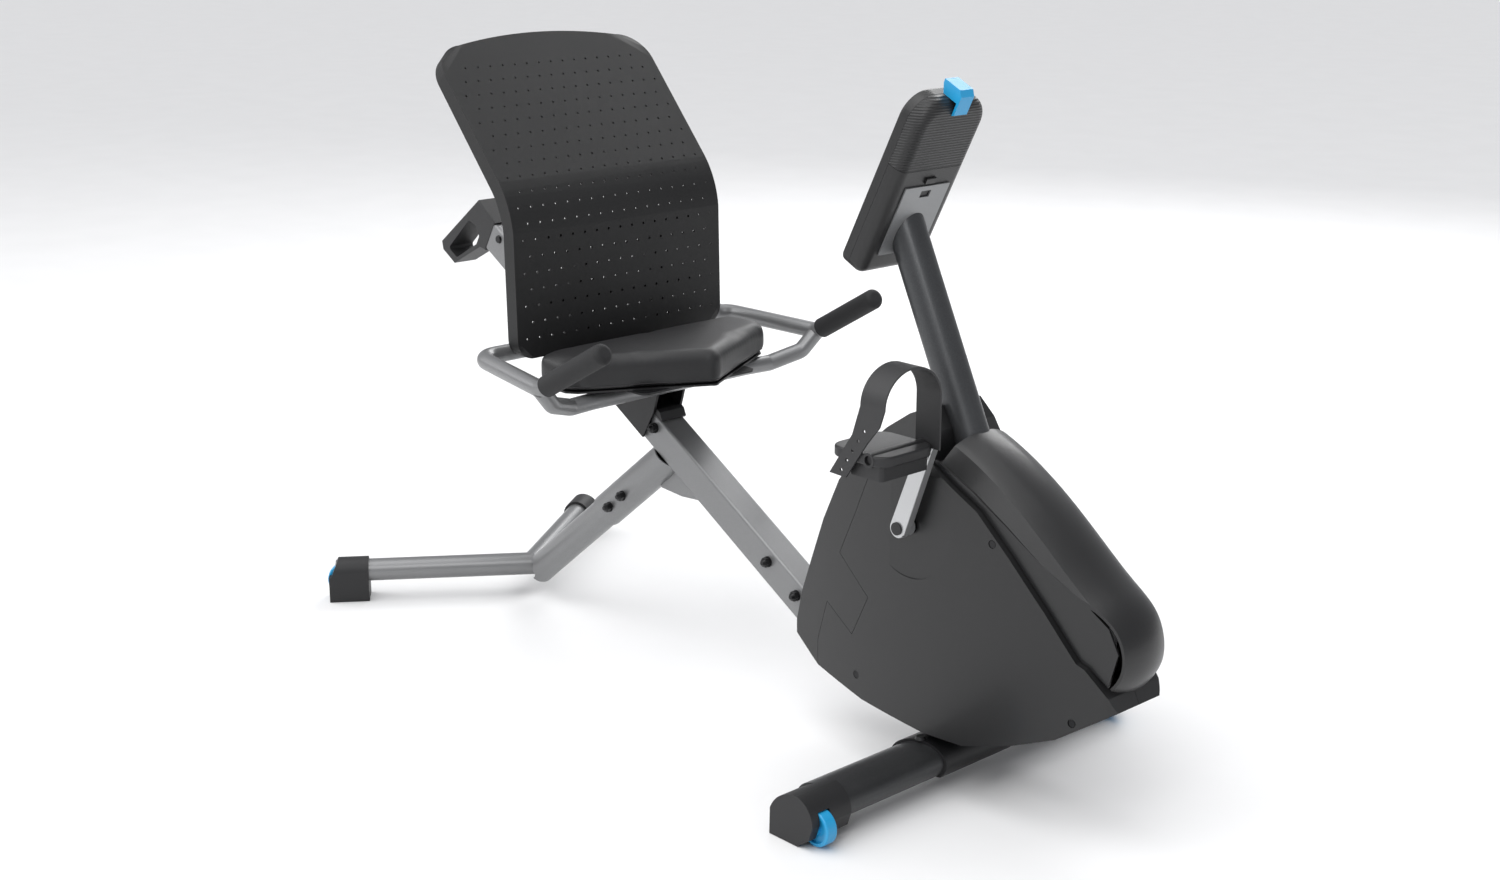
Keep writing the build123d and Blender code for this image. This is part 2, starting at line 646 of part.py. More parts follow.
with BuildPart() as drive_belt:
    extrude(belt_outline(BELT_GAP + BELT_THICKNESS), amount=-BELT_WIDTH)
    extrude(belt_outline(BELT_GAP), amount=-BELT_WIDTH, mode=Mode.SUBTRACT)
save(drive_belt, "drive_belt")

# ------------------------------------------------------------------ cranks and pedals
with BuildPart() as crank_axle:
    drum(CRANK_X, CRANK_Z, AXLE_RADIUS, -CRANK_OUTER + 5, CRANK_OUTER - 5)
save(crank_axle, "crank_axle")

with BuildPart() as drive_pulley:
    drum(CRANK_X, CRANK_Z, DRIVE_PULLEY_RADIUS, BELT_Y - 8, BELT_Y + 8)
    for flange in (BELT_Y - 8, BELT_Y + 6):
        drum(CRANK_X, CRANK_Z, DRIVE_PULLEY_RADIUS + 4, flange, flange + 2)
    # five round openings lighten the web
    with BuildSketch(side_plane(BELT_Y - 9)):
        with Locations((CRANK_X, CRANK_Z)):
            with PolarLocations(48, 5):
                Circle(19.0)
    extrude(amount=-18, mode=Mode.SUBTRACT)
    drum(CRANK_X, CRANK_Z, AXLE_RADIUS + 0.02, BELT_Y - 9, BELT_Y + 9, Mode.SUBTRACT)
save(drive_pulley, "drive_pulley")

for name, side in SIDES:
    # the right crank points up and forward, the left one the opposite way
    eye_x = CRANK_X - side * CRANK_LENGTH * sin(radians(CRANK_LEAN))
    eye_z = CRANK_Z - side * CRANK_LENGTH * cos(radians(CRANK_LEAN))
    with BuildPart() as crank:
        with BuildSketch(side_plane(side * (CRANK_OUTER - CRANK_THICKNESS))):
            with Locations((CRANK_X, CRANK_Z)):
                Circle(CRANK_BOSS_RADIUS)
            with Locations((eye_x, eye_z)):
                Circle(CRANK_EYE_RADIUS)
            make_hull()
        extrude(amount=-side * CRANK_THICKNESS)
        fillet(crank.faces().sort_by(Axis.Y)[0].edges(), 2.0)
        fillet(crank.faces().sort_by(Axis.Y)[-1].edges(), 2.0)
        drum(CRANK_X, CRANK_Z, CRANK_BOSS_RADIUS - 0.5, side * CRANK_BOSS_INNER, side * (CRANK_OUTER - 5))
        drum(CRANK_X, CRANK_Z, AXLE_RADIUS + 0.02, side * 70, side * 120, Mode.SUBTRACT)
        drum(eye_x, eye_z, PEDAL_SPINDLE_RADIUS + 0.02, side * 70, side * 120, Mode.SUBTRACT)
    save(crank, f"crank_{name}")

    with BuildPart() as pedal:
        pedal_x = eye_x - PEDAL_SETBACK
        with BuildSketch(Plane(origin=(pedal_x, side * PEDAL_MID, eye_z - PEDAL_THICKNESS / 2))):
            RectangleRounded(PEDAL_LENGTH, 2 * PEDAL_HALF_WIDTH, 22.0)
        extrude(amount=PEDAL_THICKNESS)
        fillet(pedal.edges().group_by(Axis.Z)[0], 3.0)
        fillet(pedal.edges().group_by(Axis.Z)[-1], 3.0)
        near = side * (PEDAL_MID - PEDAL_HALF_WIDTH)
        far = side * (PEDAL_MID + PEDAL_HALF_WIDTH)
        drum(eye_x, eye_z, 9.5, near, far)
        # weighted block that keeps the pedal upright
        with BuildSketch(Plane(origin=(eye_x - PEDAL_SETBACK / 2, side * PEDAL_MID, eye_z - 25.5))):
            RectangleRounded(56, 84, 5.0)
        extrude(amount=20)
        drum(eye_x, eye_z, PEDAL_SPINDLE_RADIUS + PIN_CLEARANCE, near - side, far + side, Mode.SUBTRACT)
    save(pedal, f"pedal_{name}")

    # strap: an arch over the foot, closed below by the pedal, with a punched tail that hangs back outside
    shoulder = eye_z + STRAP_SHOULDER
    strap_plane = cross_plane(eye_x + STRAP_FORWARD - STRAP_WIDTH / 2)
    arch_outer = PEDAL_HALF_WIDTH + 0.1 + STRAP_THICKNESS
    with BuildPart() as pedal_strap:
        with BuildSketch(strap_plane):
            with Locations((side * PEDAL_MID, shoulder)):
                Ellipse(arch_outer, STRAP_TOP - STRAP_SHOULDER)
                Ellipse(
                    arch_outer - STRAP_THICKNESS,
                    STRAP_TOP - STRAP_SHOULDER - STRAP_THICKNESS,
                    mode=Mode.SUBTRACT,
                )
            with Locations((side * PEDAL_MID, shoulder - 100)):
                Rectangle(300, 200, mode=Mode.SUBTRACT)
            inner_mid = side * (PEDAL_MID - arch_outer + STRAP_THICKNESS / 2)
            with Locations((inner_mid, shoulder - 34)):
                Rectangle(STRAP_THICKNESS, 68)
        extrude(amount=STRAP_WIDTH)
        outer_mid = side * (PEDAL_MID + arch_outer - STRAP_THICKNESS / 2)
        with BuildSketch(side_plane(outer_mid)):
            with BuildLine(Plane(origin=(eye_x, eye_z, 0))):
                Polyline(
                    (-12, STRAP_SHOULDER),
                    (-25, 28.5),
                    (-63, -27.5),
                    (-35, -28.5),
                    (0, 21.5),
                    (20, 45),
                    (28, STRAP_SHOULDER),
                    close=True,
                )
            make_face()
            for step in range(5):
                with Locations((eye_x - 5 - 9.5 * step, eye_z + 36 - 14 * step)):
                    Circle(2.2, mode=Mode.SUBTRACT)
        extrude(amount=STRAP_THICKNESS / 2, both=True)
        drum(eye_x, eye_z, 9.0, inner_mid - 3, inner_mid + 3, Mode.SUBTRACT)
    save(pedal_strap, f"pedal_strap_{name}")

with BuildPart() as pedal_spindles:
    for _, side in SIDES:
        eye_x = CRANK_X - side * CRANK_LENGTH * sin(radians(CRANK_LEAN))
        eye_z = CRANK_Z - side * CRANK_LENGTH * cos(radians(CRANK_LEAN))
        end = PEDAL_MID + PEDAL_HALF_WIDTH - 3
        drum(eye_x, eye_z, PEDAL_SPINDLE_RADIUS, side * (CRANK_OUTER - CRANK_THICKNESS), side * end)
        drum(eye_x, eye_z, 9.0, side * (CRANK_OUTER + 0.3), side * (CRANK_OUTER + 3.3))
save(pedal_spindles, "pedal_spindles")

with BuildPart() as crank_caps:
    for _, side in SIDES:
        drum(CRANK_X, CRANK_Z, AXLE_RADIUS, side * (CRANK_OUTER + 0.2), side * (CRANK_OUTER + 2.2))
        drum(CRANK_X, CRANK_Z, AXLE_RADIUS - 0.3, side * (CRANK_OUTER - 4.8), side * (CRANK_OUTER + 1))
save(crank_caps, "crank_caps")

# ------------------------------------------------------------------ housing
def housing_half(x):
    """Half the housing's width at x: both sides are shallow arcs seen from above."""
    across_arc = sqrt(HOUSING_SIDE_RADIUS**2 - (x - HOUSING_MIDDLE_X) ** 2)
    return HOUSING_HALF_WIDTH - HOUSING_SIDE_RADIUS + across_arc


def plan_prism(inset, front=760.0, corner=0.0):
    """The housing's outline seen from above, inset from its sides, as a tall solid."""
    rear = 120.0
    with BuildSketch(Plane.XY) as plan:
        with BuildLine():
            for side in (-1, 1):
                ThreePointArc(
                    (rear, side * (housing_half(rear) - inset)),
                    (HOUSING_MIDDLE_X, side * (HOUSING_HALF_WIDTH - inset)),
                    (front, side * (housing_half(front) - inset)),
                )
            Line((rear, inset - housing_half(rear)), (rear, housing_half(rear) - inset))
            Line((front, inset - housing_half(front)), (front, housing_half(front) - inset))
        make_face()
        if corner:
            fillet(plan.vertices().group_by(Axis.X)[-1], corner)
    return extrude(plan.sketch, amount=640, mode=Mode.PRIVATE)


SHELL_PROFILE = (
    (230, 108),
    (325, 89),
    (439, 80),
    (508, 83),
    (584, 107),
    (647, 134),
    (725, 188),
    (716, 206),
    (703, 218),
    (683, 236),
    (671, 241),
    (626, 294),
    (571, 353),
    (520, 402),
    (478, 425),
    (440, 447),
    (432, 484),
    (416, 510),
    (399, 505),
    (382, 497),
    (351, 474),
    (317, 439),
    (272, 387),
    (239, 323),
    (215, 264),
    (192, 207),
    (179, 159),
    (179, 139),
)
# the seam between the side shells and the rear cover, from top to bottom
REAR_SEAM = (
    (352, 476),
    (330, 403),
    (307, 351),
    (275, 285),
    (334, 238),
    (303, 177),
    (249, 208),
    (229, 146),
    (229, 100),
)


def side_profile(points, inset=0.0):
    """A closed outline seen from the side, inset all round, spanning the housing's full width."""
    with BuildSketch(side_plane(-100)) as outline:
        with BuildLine():
            Polyline(*points, close=True)
        make_face()
        if inset:
            offset(amount=-inset, kind=Kind.INTERSECTION, mode=Mode.REPLACE)
    return extrude(outline.sketch, amount=-200, mode=Mode.PRIVATE)


def rear_region(grow):
    """Everything behind the rear seam, the seam moved forward by grow."""
    with BuildSketch(side_plane(-100)) as outline:
        with BuildLine():
            seam_top = (REAR_SEAM[0][0], 560)
            seam_foot = (REAR_SEAM[-1][0], 60)
            Polyline((100, 560), seam_top, *REAR_SEAM, seam_foot, (100, 60), close=True)
        make_face()
        if grow:
            offset(amount=grow, kind=Kind.INTERSECTION, mode=Mode.REPLACE)
    return extrude(outline.sketch, amount=-200, mode=Mode.PRIVATE)


def housing_openings():
    """Cut the openings the mast, rail and inner frame pass through."""
    with BuildSketch(mast_plane.offset(MAST_FOOT)) as mast_hole:
        Circle(MAST_RADIUS + 1.0)
    extrude(mast_hole.sketch, amount=200, mode=Mode.SUBTRACT)
    with BuildSketch(rail_section(300)) as rail_hole:
        RectangleRounded(RAIL_WIDTH + 1.0, RAIL_HEIGHT + 1.0, 4.0)
    extrude(rail_hole.sketch, amount=RAIL_FRONT - 299, mode=Mode.SUBTRACT)
    with BuildSketch(Plane.XY.offset(60)) as foot_hole:
        with Locations((446, 0)):
            Rectangle(92, 2 * (PLATE_INNER + PLATE_THICKNESS + 1))
    extrude(foot_hole.sketch, amount=45, mode=Mode.SUBTRACT)


def shoulder_cut(inset):
    """The wedges that round the housing's shoulders beside the mast, inset from its surface."""
    with BuildSketch(cross_plane(330)) as wedge:
        for side in (-1, 1):
            with BuildLine():
                Polyline(
                    (side * (34 - inset), 540),
                    (side * (79 - inset), 428),
                    (side * 120, 435),
                    (side * 120, 540),
                    close=True,
                )
            make_face()
    return extrude(wedge.sketch, amount=130, mode=Mode.PRIVATE)


# the band under the front cover, where the side shells have no roof between them
COVER_BAND = (
    (448, 520),
    (448, 434),
    (478, 412),
    (514, 391),
    (564, 343),
    (619, 284),
    (664, 231),
    (690, 222),
    (698, 214),
    (770, 214),
    (770, 520),
)
outer_shell = side_profile(SHELL_PROFILE) & plan_prism(0, NOSE_FRONT, NOSE_CORNER)
outer_shell = outer_shell - shoulder_cut(0)
inner_plan = plan_prism(HOUSING_WALL, NOSE_FRONT - HOUSING_WALL, NOSE_CORNER - HOUSING_WALL)
inner_shell = side_profile(SHELL_PROFILE, HOUSING_WALL) & inner_plan
inner_shell = inner_shell - shoulder_cut(HOUSING_WALL)
cover_band = side_profile(COVER_BAND) & plan_prism(14.0)
SCREWS = ((313, 121), (669, 162), (545, 366))
SCREW_SINK = 2.0

for name, side in SIDES:
    with BuildPart() as housing_side:
        add(outer_shell)
        add(inner_shell, mode=Mode.SUBTRACT)
        add(rear_region(HOUSING_GAP), mode=Mode.SUBTRACT)
        add(cover_band, mode=Mode.SUBTRACT)
        # keep one side only
        with BuildSketch(side_plane(side * HOUSING_GAP / 2)):
            with Locations((450, 300)):
                Rectangle(900, 700)
        extrude(amount=side * 120, mode=Mode.SUBTRACT)
        housing_openings()
        # shallow ring round the crank
        drum(CRANK_X, CRANK_Z, 72.0, side * 75.6, side * 90, Mode.SUBTRACT)
        drum(CRANK_X, CRANK_Z, 12.0, side * 60, side * 90, Mode.SUBTRACT)
        for x, z in SCREWS:
            seat_y = side * (housing_half(x) - SCREW_SINK)
            drum(x, z, 8.0, seat_y - side * 5, seat_y, Mode.ADD)
            drum(x, z, 5.5, seat_y, seat_y + side * 10, Mode.SUBTRACT)
    save(housing_side, f"housing_{name}")

with BuildPart() as rear_cover:
    add(outer_shell)
    add(inner_shell, mode=Mode.SUBTRACT)
    add(rear_region(0), mode=Mode.INTERSECT)
    housing_openings()
save(rear_cover, "rear_cover")

COVER_SIDE = (
    (444, 452),
    (505, 423),
    (560, 388),
    (612, 352),
    (668, 321),
    (706, 292),
    (720, 262),
    (709, 217),
    (683, 236),
    (671, 241),
    (626, 294),
    (571, 353),
    (520, 402),
    (478, 425),
    (440, 447),
)
# front cover: a crowned band that follows the shell's upper edge down to the nose
with BuildPart() as front_cover:
    with BuildLine() as crest:
        Spline(
            (457, 0, 469),
            (518, 0, 439),
            (577, 0, 399),
            (628, 0, 358),
            (678, 0, 319),
            (712, 0, 291),
            (724, 0, 262),
            (712, 0, 216),
        )
    crest_start = Plane(origin=crest.line @ 0, x_dir=(0, 1, 0), z_dir=crest.line % 0)
    with BuildSketch(crest_start):
        with BuildLine():
            ThreePointArc((-COVER_RIDGE, 0), (0, COVER_CROWN), (COVER_RIDGE, 0))
            Polyline((COVER_RIDGE, 0), (64, -24), (61, -24), (COVER_RIDGE - 1, -3))
            ThreePointArc((COVER_RIDGE - 1, -3), (0, COVER_CROWN - 3), (1 - COVER_RIDGE, -3))
            Polyline((1 - COVER_RIDGE, -3), (-61, -24), (-64, -24), (-COVER_RIDGE, 0))
        make_face()
    sweep(path=crest.line)
    add(plan_prism(9.0), mode=Mode.INTERSECT)
    # side walls from the roof down to the groove
    add((side_profile(COVER_SIDE) & plan_prism(9.0)) - plan_prism(12.0))
    add(side_profile(SHELL_PROFILE, -HOUSING_GAP), mode=Mode.SUBTRACT)
    housing_openings()
save(front_cover, "front_cover")

with BuildPart() as housing_screws:
    for _, side in SIDES:
        for x, z in SCREWS:
            seat_y = side * (housing_half(x) - SCREW_SINK)
            drum(x, z, 4.8, seat_y, seat_y + side * 1.6)
save(housing_screws, "housing_screws")

# ------------------------------------------------------------------ console
def console_outline(inset=0.0):
    """The console's outline on its own plane, inset all round."""
    with BuildSketch(console_plane) as outline:
        with Locations((0, (CONSOLE_TOP + CONSOLE_BOTTOM) / 2)):
            Rectangle(2 * CONSOLE_HALF_WIDTH, CONSOLE_TOP - CONSOLE_BOTTOM)
        fillet(outline.vertices().group_by(Axis.Y)[-1], 35.0)
        fillet(outline.vertices().group_by(Axis.Y)[0], 14.0)
        if inset:
            offset(amount=-inset, mode=Mode.REPLACE)
    return outline.sketch


def console_box(width, v_from, v_to, depth_from, depth_to, mode):
    """A block standing on the console plane, between two heights up it and two depths out of its back."""
    with BuildSketch(console_plane.offset(depth_from)) as block:
        with Locations((0, (v_from + v_to) / 2)):
            Rectangle(width, v_to - v_from)
    extrude(block.sketch, amount=depth_to - depth_from, mode=mode)


console_normal = Axis(console_plane.origin, console_plane.z_dir)
for name, v_from, v_to in (("upper", 0.3, 200), ("lower", -300, -0.3)):
    with BuildPart() as console_back:
        extrude(console_outline(), amount=-CONSOLE_SPLIT)
        fillet(console_back.faces().sort_by(console_normal)[-1].edges(), 14.0)
        with BuildSketch(console_plane.offset(-CONSOLE_WALL)) as hollow:
            with Locations((0, (CONSOLE_TOP + CONSOLE_BOTTOM) / 2)):
                RectangleRounded(2 * CONSOLE_HALF_WIDTH - 26, CONSOLE_TOP - CONSOLE_BOTTOM - 26, 22.0)
        extrude(amount=-CONSOLE_SPLIT, mode=Mode.SUBTRACT)
        console_box(400, v_from, v_to, -60, 60, Mode.INTERSECT)
    save(console_back, f"console_back_{name}")

DISPLAY_V = 32.0
KEY_V = -72.0
with BuildPart() as console_front:
    extrude(console_outline().moved(Location(console_plane.z_dir * (-CONSOLE_SPLIT - 0.3))), amount=-15.7)
    fillet(console_front.faces().sort_by(console_normal)[0].edges(), 5.0)
    console_box(92, DISPLAY_V - 42, DISPLAY_V + 42, -CONSOLE_DEPTH - 1, -CONSOLE_DEPTH + 2.5, Mode.SUBTRACT)
    for key_y in (-22, 22):
        with BuildSketch(console_plane.offset(-CONSOLE_DEPTH - 1)):
            with Locations((key_y, KEY_V)):
                Circle(10.4)
        extrude(amount=7, mode=Mode.SUBTRACT)
save(console_front, "console_front")

with BuildPart() as display_lens:
    lens_face = 0.3 - CONSOLE_DEPTH
    console_box(91.4, DISPLAY_V - 41.7, DISPLAY_V + 41.7, lens_face, lens_face + 2.1, Mode.ADD)
save(display_lens, "display_lens")

for name, key_y in (("right", -22), ("left", 22)):
    with BuildPart() as console_key:
        with BuildSketch(console_plane.offset(-CONSOLE_DEPTH - 1.6)):
            with Locations((key_y, KEY_V)):
                Circle(10.0)
        extrude(amount=5.6)
        chamfer(console_key.edges().group_by(Axis.X)[0], 0.8)
    save(console_key, f"console_key_{name}")

with BuildPart() as console_bracket:
    console_box(82, -126, -24, 0.3, 0.3 + BRACKET_THICKNESS, Mode.ADD)
    console_box(18, -41, -31, -1, 5, Mode.SUBTRACT)
save(console_bracket, "console_bracket")

with BuildPart() as console_latch:
    console_box(18, -20, -12, 0.3, 3.3, Mode.ADD)
    chamfer(console_latch.edges().group_by(Axis.X)[-1], 0.8)
save(console_latch, "console_latch")

# clip over the console's top edge that holds a tablet
with BuildPart() as tablet_clip:
    clip_origin = console_plane.origin - Vector(0, 12, 0)
    clip_side = Plane(origin=clip_origin, x_dir=console_plane.z_dir, z_dir=(0, 1, 0))
    with BuildSketch(clip_side):
        with BuildLine():
            Polyline(
                (0.4, -80),
                (4.0, -82),
                (4.0, -108),
                (-2.0, -115),
                (-30.0, -115),
                (-30.0, -110),
                (-24.0, -97.5),
                (0.4, -97.5),
                close=True,
            )
        make_face()
    extrude(amount=24)
save(tablet_clip, "tablet_clip")

# ------------------------------------------------------------------ seat
with BuildPart() as seat_carriage:
    for side in (-1, 1):
        with BuildSketch(rail_side(side * CARRIAGE_INNER)):
            with BuildLine():
                Polyline(
                    (-10, -21), (-10, 30), (-23, 85.5), (-119, 28.5), (-190, 27), (-190, -21), close=True
                )
            make_face()
            rear_u = rail_plane.to_local_coords(Vector(REAR_BAR[0], 0, REAR_BAR[1]))
            with Locations((rear_u.X, rear_u.Z)):
                Circle(HANDLE_TUBE_RADIUS + 3)
        extrude(amount=-side * CARRIAGE_THICKNESS)
    # runner over the rail, tied to both plates
    with BuildSketch(rail_side(-CARRIAGE_INNER - 1)):
        with Locations((-100, 27.5)):
            Rectangle(180, 4)
    extrude(amount=-2 * CARRIAGE_INNER - 2)
    # slide pads against the rail's sides
    for side in (-1, 1):
        for u in (-40, -160):
            with BuildSketch(rail_side(side * (RAIL_WIDTH / 2 + 0.3))):
                with Locations((u, 0)):
                    RectangleRounded(36, 24, 5)
            extrude(amount=-side * (CARRIAGE_INNER - RAIL_WIDTH / 2 + 1))
    for x, z in (REAR_BAR, FRONT_BAR):
        drum(x, z, HANDLE_TUBE_RADIUS + 0.1, -40, 40, Mode.SUBTRACT)
    knob_point = rail_plane.from_local_coords(Vector(-100, 0, 0))
    drum(knob_point.X, knob_point.Z, 5.05, 20, 40, Mode.SUBTRACT)
save(seat_carriage, "seat_carriage")

with BuildPart() as carriage_lip:
    with BuildSketch(rail_side(-CARRIAGE_INNER + 0.3)):
        with BuildLine():
            Polyline((-9.6, 25.6), (8, 25.6), (8, 29), (-2, 36), (-9.6, 36), close=True)
        make_face()
    extrude(amount=-2 * CARRIAGE_INNER + 0.6)
save(carriage_lip, "carriage_lip")

PAN_BOTTOM = 440.0
POST_X = -276.0
POST_Y = 70.0
with BuildPart() as seat_frame:
    # pan, notched behind to clear the rail
    with BuildSketch(Plane.XY.offset(PAN_BOTTOM)):
        with Locations((-180, 0)):
            RectangleRounded(200, 220, 12.0)
        with Locations((-270, 0)):
            Rectangle(60, 62, mode=Mode.SUBTRACT)
    extrude(amount=3.0)
    # upright back posts with two cross straps
    for side in (-1, 1):
        with BuildSketch(Plane.XY.offset(PAN_BOTTOM)):
            with Locations((POST_X, side * POST_Y)):
                Rectangle(6, 40)
        extrude(amount=202)
    for z in (540, 625):
        with BuildSketch(Plane.XY.offset(z)):
            with Locations((-271.5, 0)):
                Rectangle(5, 300)
        extrude(amount=30)
save(seat_frame, "seat_frame")

CUSHION_PLAN = ((-43, 14), (-137, 186), (-157, 200), (-214, 200), (-227, 190))


def cushion_outline(plane, inset=0.0):
    """The seat's outline from above: broad behind, tapering to a rounded nose between the thighs."""
    with BuildSketch(plane) as outline:
        with BuildLine():
            ThreePointArc((-43, -14), (-37, 0), (-43, 14))
            Polyline(*CUSHION_PLAN)
            Line((-227, 190), (-227, -190))
            Polyline(*[(x, -y) for x, y in reversed(CUSHION_PLAN)])
        make_face()
        if inset:
            offset(amount=-inset, kind=Kind.INTERSECTION, mode=Mode.REPLACE)
    return outline.sketch


with BuildPart() as seat_board:
    extrude(cushion_outline(Plane.XY.offset(PAN_BOTTOM + 3.2), 10.0), amount=2.6)
save(seat_board, "seat_board")

with BuildPart() as seat_cushion:
    extrude(cushion_outline(Plane.XY.offset(CUSHION_BOTTOM)), amount=CUSHION_TOP - CUSHION_BOTTOM)
    fillet(seat_cushion.edges().filter_by(Axis.Z), 8.0)
    fillet(seat_cushion.edges().group_by(Axis.Z)[-1], 10.0)
    fillet(seat_cushion.edges().group_by(Axis.Z)[0], 7.0)
save(seat_cushion, "seat_cushion")

upper_back = Plane(origin=(-294, 0, 733), x_dir=(0, 1, 0), z_dir=(0.753, 0, 0.657))


def back_line(depth):
    """The backrest's side profile, a distance behind its front face, from bottom to top."""
    return (
        (-258.5 - depth, 440),
        (-263 - depth, 660 - 0.02 * depth),
        (-273 - 0.93 * depth, 698 - 0.37 * depth),
        (-294 - 0.753 * depth, 733 - 0.658 * depth),
        (-492 - 0.753 * depth, 960 - 0.658 * depth),
    )


def back_slab(front, rear):
    near = back_line(front)
    far = back_line(rear)
    with BuildSketch(side_plane(-BACKREST_HALF_WIDTH - 10)) as slab:
        with BuildLine():
            for low, bend_start, bend_mid, bend_end, high in (near, far):
                Line(low, bend_start)
                ThreePointArc(bend_start, bend_mid, bend_end)
                Line(bend_end, high)
            Line(near[0], far[0])
            Line(near[4], far[4])
        make_face()
    return extrude(slab.sketch, amount=-2 * BACKREST_HALF_WIDTH - 20, mode=Mode.PRIVATE)


def back_outline(inset):
    """The backrest seen square to its upper part, as a prism: a crowned top with rounded corners."""
    half = BACKREST_HALF_WIDTH - inset
    top = 255 - inset
    with BuildSketch(upper_back) as outline:
        with BuildLine():
            ThreePointArc((-150, top - 15), (0, top), (150, top - 15))
            for side in (-1, 1):
                ThreePointArc((side * 150, top - 15), (side * (half - 13), top - 32), (side * half, top - 66))
                Line((side * half, top - 66), (side * half, -420))
            Line((-half, -420), (half, -420))
        make_face()
    return extrude(outline.sketch, amount=260, both=True, mode=Mode.PRIVATE)


def back_foot(inset):
    """Everything above the backrest's lower edge, whose corners are rounded."""
    with BuildSketch(cross_plane(-600)) as outline:
        with Locations((0, 474 + inset + 400)):
            RectangleRounded(2 * (BACKREST_HALF_WIDTH - inset), 800, 28.0)
    return extrude(outline.sketch, amount=500, mode=Mode.PRIVATE)


with BuildPart() as backrest:
    add(back_slab(0, BACKREST_RIM) & back_outline(0) & back_foot(0))
    hollow = back_slab(BACKREST_WALL, BACKREST_RIM + 20) & back_outline(BACKREST_WALL)
    hollow = hollow & back_foot(BACKREST_WALL)
    add(hollow, mode=Mode.SUBTRACT)
    # slots in the lower rim for the posts
    for side in (-1, 1):
        with BuildSketch(Plane.XY.offset(460)):
            with Locations((POST_X, side * POST_Y)):
                Rectangle(9, 43)
        extrude(amount=30, mode=Mode.SUBTRACT)
save(backrest, "backrest")


def bent_tube(points, radius, bend):
    """A round tube along straight runs, with a bend of the given radius at each corner."""
    corners = [Vector(*point) for point in points]
    start = corners[0]
    with BuildLine() as centre:
        for before, corner, after in zip(corners, corners[1:], corners[2:]):
            into = (corner - before).normalized()
            out = (after - corner).normalized()
            half_turn = radians(into.get_angle(out)) / 2
            setback = bend * sin(half_turn) / cos(half_turn)
            first = corner - into * setback
            last = corner + out * setback
            inner = (out - into).normalized()
            middle = corner + inner * (bend / cos(half_turn) - bend)
            Line(start, first)
            ThreePointArc(first, middle, last)
            start = last
        Line(start, corners[-1])
    return sweep(disc(Plane(origin=centre.line @ 0, z_dir=centre.line % 0), radius), path=centre.line)


BAR_OUTER = (-112.0, 268.5, 472.0)
GRIP_DIRECTION = Vector(130.0, -7.6, 73.0).normalized()
GRIP_END = 153.0

with BuildPart() as handlebar:
    main_run = [
        Vector(BAR_OUTER[0], -BAR_OUTER[1], BAR_OUTER[2])
        + Vector(GRIP_DIRECTION.X, -GRIP_DIRECTION.Y, GRIP_DIRECTION.Z) * (GRIP_END - 25),
        (BAR_OUTER[0], -BAR_OUTER[1], BAR_OUTER[2]),
        (REAR_BAR[0], -240, REAR_BAR[1]),
        (REAR_BAR[0], 240, REAR_BAR[1]),
        BAR_OUTER,
        Vector(*BAR_OUTER) + GRIP_DIRECTION * (GRIP_END - 25),
    ]
    bent_tube(main_run, HANDLE_TUBE_RADIUS, 32.0)
    front_run = [
        (-113, -268.5, 471),
        (-121, -243, 443),
        (-143, -195, 427),
        (FRONT_BAR[0], -150, FRONT_BAR[1]),
        (FRONT_BAR[0], 150, FRONT_BAR[1]),
        (-143, 195, 427),
        (-121, 243, 443),
        (-113, 268.5, 471),
    ]
    bent_tube(front_run, HANDLE_TUBE_RADIUS, 18.0)
save(handlebar, "handlebar")

for name, side in SIDES:
    direction = Vector(GRIP_DIRECTION.X, side * GRIP_DIRECTION.Y, GRIP_DIRECTION.Z)
    root = Vector(BAR_OUTER[0], side * BAR_OUTER[1], BAR_OUTER[2])
    with BuildPart() as grip:
        grip_plane = Plane(origin=root + direction * GRIP_START, z_dir=direction)
        extrude(disc(grip_plane, GRIP_RADIUS), amount=GRIP_END - GRIP_START + 1)
        fillet(grip.edges().sort_by(Axis.X)[-1], 9.0)
        bore = Plane(origin=root, z_dir=direction)
        extrude(disc(bore, HANDLE_TUBE_RADIUS + 0.1), amount=GRIP_END - 24.7, mode=Mode.SUBTRACT)
    save(grip, f"grip_{name}")

with BuildPart() as seat_lock_knob:
    drum(knob_point.X, knob_point.Z, 5.0, 22.6, 50)
    with BuildSketch(side_plane(46)):
        with Locations((knob_point.X, knob_point.Z)):
            Circle(20.0)
            with PolarLocations(24, 6):
                Circle(6.0, mode=Mode.SUBTRACT)
    extrude(amount=-22)
    fillet(seat_lock_knob.faces().sort_by(Axis.Y)[-1].edges(), 2.0)
save(seat_lock_knob, "seat_lock_knob")
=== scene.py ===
import bpy
import bmesh
import json
from math import cos, pi, radians, sin, sqrt
from mathutils import Matrix, Vector
from mathutils.bvhtree import BVHTree


